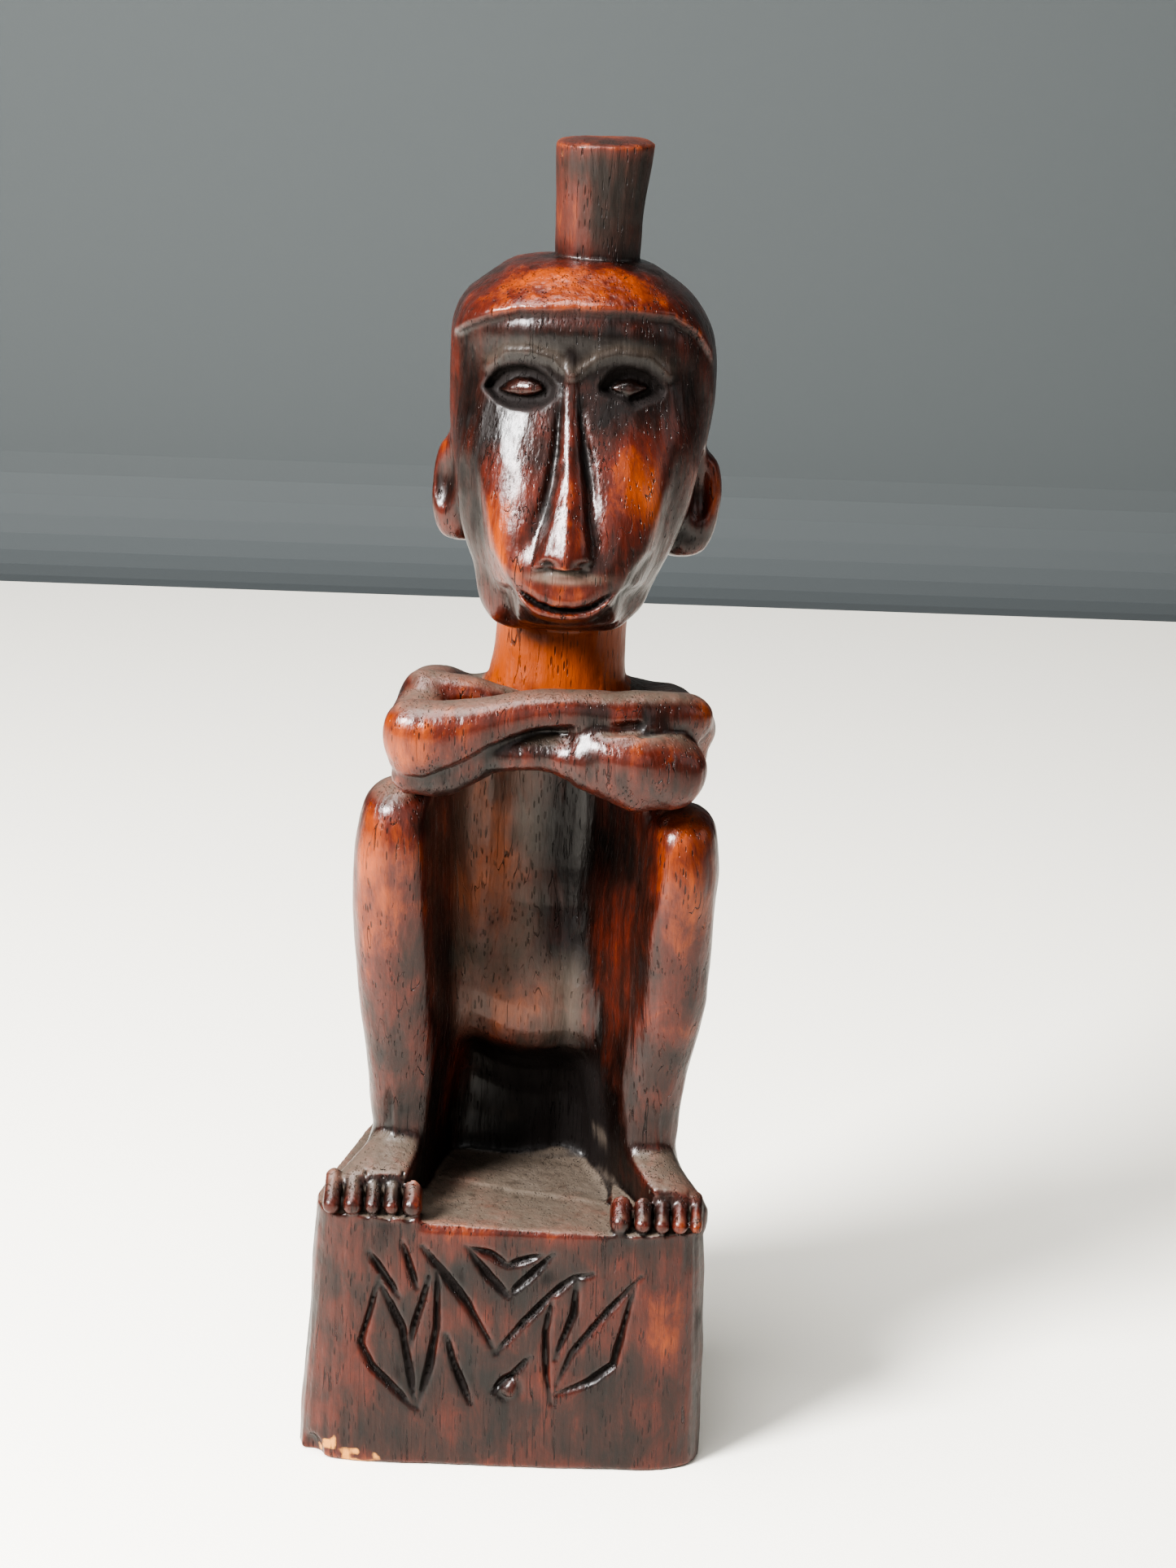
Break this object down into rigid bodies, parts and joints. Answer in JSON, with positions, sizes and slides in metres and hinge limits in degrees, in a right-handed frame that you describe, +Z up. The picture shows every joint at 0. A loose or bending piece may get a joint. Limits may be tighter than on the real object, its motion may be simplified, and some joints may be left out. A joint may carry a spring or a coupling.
{
  "type": "carved wooden seated figure",
  "caption": "Carved hardwood ancestor or fertility figure squatting on a plinth, arms crossed on raised knees, tall mask-like face, side ears and a flared topknot.",
  "frame": {"origin": "on the ground, under the middle of the plinth's flat underside", "axes": "+Z up along the figure, -Y the way the figure faces, +X towards the figure's left"},
  "size_m": [0.1033, 0.0794, 0.33],
  "materials": {
    "dark_patina": "near-black red-brown wax patina, satin",
    "red_patina": "red-brown polished patina, worn to orange on high spots",
    "neck_wood": "lighter orange-brown wood, semi-matt",
    "topknot_wood": "brown wood, semi-matt, with a worn rim"
  },
  "bodies": {
    "root": {"plinth": "dark_patina", "right_foot": "dark_patina", "left_foot": "dark_patina", "right_shin": "red_patina", "left_shin": "red_patina", "right_thigh": "red_patina", "left_thigh": "red_patina", "torso": "dark_patina", "neck": "neck_wood", "head": "red_patina", "right_ear": "red_patina", "left_ear": "red_patina", "topknot": "topknot_wood", "right_upper_arm": "red_patina", "left_upper_arm": "red_patina", "right_forearm": "red_patina", "left_forearm": "red_patina", "right_hand": "red_patina", "left_hand": "dark_patina"}
  },
  "joints": []
}
